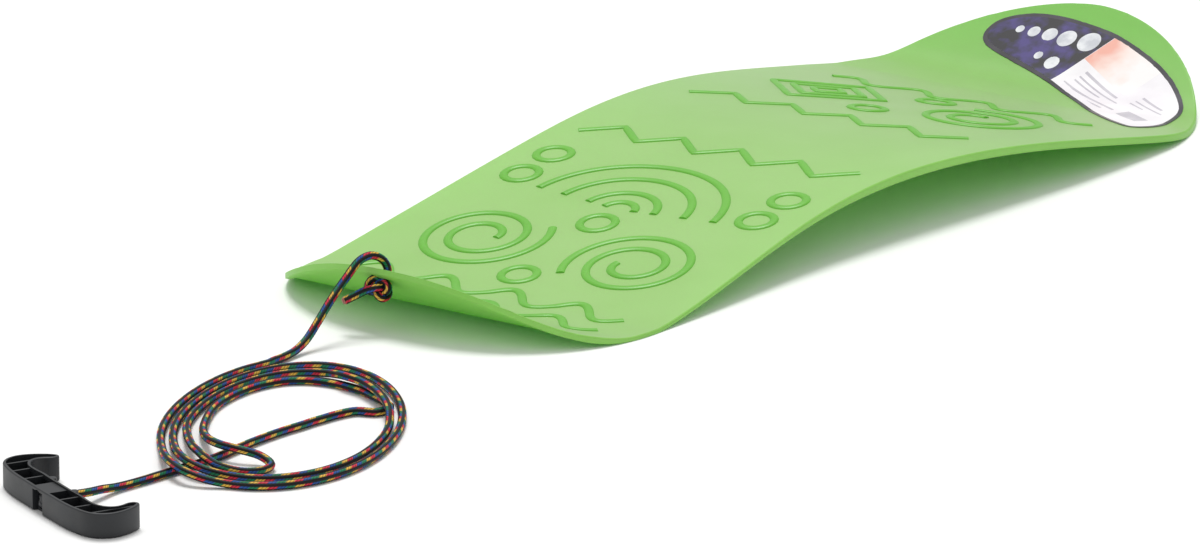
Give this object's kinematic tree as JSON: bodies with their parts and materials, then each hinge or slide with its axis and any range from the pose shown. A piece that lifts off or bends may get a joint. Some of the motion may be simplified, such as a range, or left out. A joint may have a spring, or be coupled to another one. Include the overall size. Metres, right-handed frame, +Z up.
{
  "type": "snowboard sled",
  "caption": "Child's snowboard-shaped plastic sled, S-curved board with a down-turned edge and raised lines, tail label, coiled tow rope and a hooked pull handle.",
  "frame": {"origin": "on the floor, under the middle of the board's bounding box", "axes": "+Z up, +Y along the board towards the tail (the nose and its rope point to -Y), X across the board"},
  "size_m": [0.3527, 1.3748, 0.0563],
  "materials": {
    "board": "satin, fine moulded texture",
    "label": "printed film",
    "rope": "braided, coloured tracers",
    "handle": "satin, moulded"
  },
  "bodies": {
    "sled": {"board": "board", "label": "label", "nose_knot": "rope", "rope_lead": "rope", "rope_coil": "rope", "rope_run": "rope", "handle_knot": "rope"},
    "handle": {"handle": "handle"}
  },
  "joints": [
    {"name": "handle_swivel", "type": "hinge", "parent": "sled", "child": "handle", "pos_m": [0.07709, -0.89106, 0.0085], "axis": [0.4147, 0.91, 0], "continuous": true}
  ]
}
